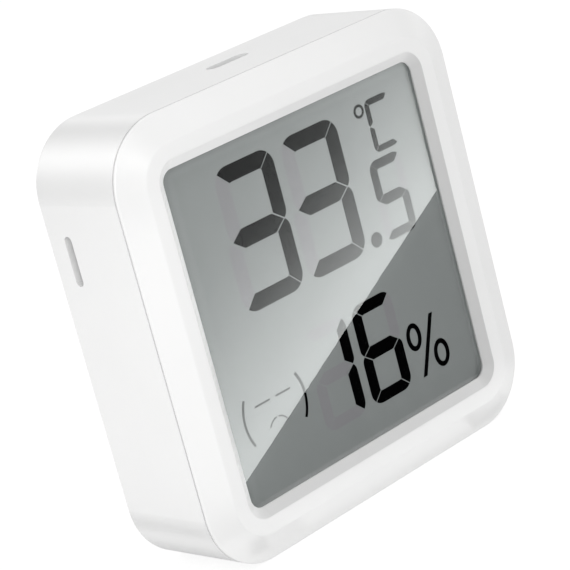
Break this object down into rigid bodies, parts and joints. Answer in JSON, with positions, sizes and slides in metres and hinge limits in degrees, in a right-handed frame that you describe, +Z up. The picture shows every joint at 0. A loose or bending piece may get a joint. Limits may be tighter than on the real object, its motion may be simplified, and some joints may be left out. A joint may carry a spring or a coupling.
{
  "type": "temperature humidity sensor",
  "caption": "Square white indoor temperature and humidity sensor with a recessed segment display, vent slots, a twist-open coin cell door and a rear pairing button.",
  "frame": {"origin": "middle of the case's footprint, on the surface that its lower edge stands on", "axes": "+Z up; the display faces -Y and the rear face +Y; +X is to the right, seen from the front"},
  "size_m": [0.043, 0.0126, 0.043],
  "materials": {
    "case_white": "satin moulded plastic, very fine texture",
    "window_clear": "clear polished acrylic",
    "tape_white": "double-sided adhesive film",
    "foam_grey": "closed-cell foam",
    "foam_white": "fine closed-cell foam",
    "display_field": "grey green polarizing film",
    "display_glass": "float glass with ground edges",
    "reflector_silver": "silvered film",
    "holder_white": "moulded plastic",
    "strip_rubber": "layered conductive elastomer",
    "board_green": "solder mask on glass fibre laminate",
    "screw_steel": "zinc plated",
    "chip_black": "moulded epoxy",
    "can_steel": "nickel plated lid",
    "passive_tan": "ceramic chip bodies",
    "track_copper": "copper under solder mask",
    "contact_nickel": "nickel plated spring steel",
    "cell_steel": "brushed nickel plated steel can",
    "switch_black": "moulded plastic"
  },
  "bodies": {
    "case": {"rear_housing": "case_white", "front_bezel": "case_white", "display_window": "window_clear", "window_tape": "tape_white", "dust_gasket": "foam_white", "front_polarizer": "display_field", "lcd_front_glass": "display_glass", "lcd_rear_glass": "display_glass", "lcd_reflector": "reflector_silver", "lcd_holder": "holder_white", "contact_strip": "strip_rubber", "circuit_board": "board_green", "board_screws": "screw_steel", "climate_sensor": "chip_black", "radio_chip": "chip_black", "display_driver": "chip_black", "crystal": "can_steel", "chip_passives": "passive_tan", "board_antenna": "track_copper", "coin_cell": "cell_steel", "negative_contact": "contact_nickel", "positive_contact": "contact_nickel", "tact_switch": "switch_black"},
    "door": {"battery_door": "case_white", "cell_pad": "foam_grey"},
    "button": {"pairing_button": "case_white", "switch_plunger": "switch_black"}
  },
  "joints": [
    {"name": "door_turn", "type": "hinge", "parent": "case", "child": "door", "pos_m": [0, 0.00625, 0.0215], "axis": [0, 1, 0], "range_deg": [0, 30]},
    {"name": "button_press", "type": "slide", "parent": "case", "child": "button", "axis": [0, -1, 0], "range_m": [0, 0.0003], "stiffness_N_per_m": 800}
  ]
}
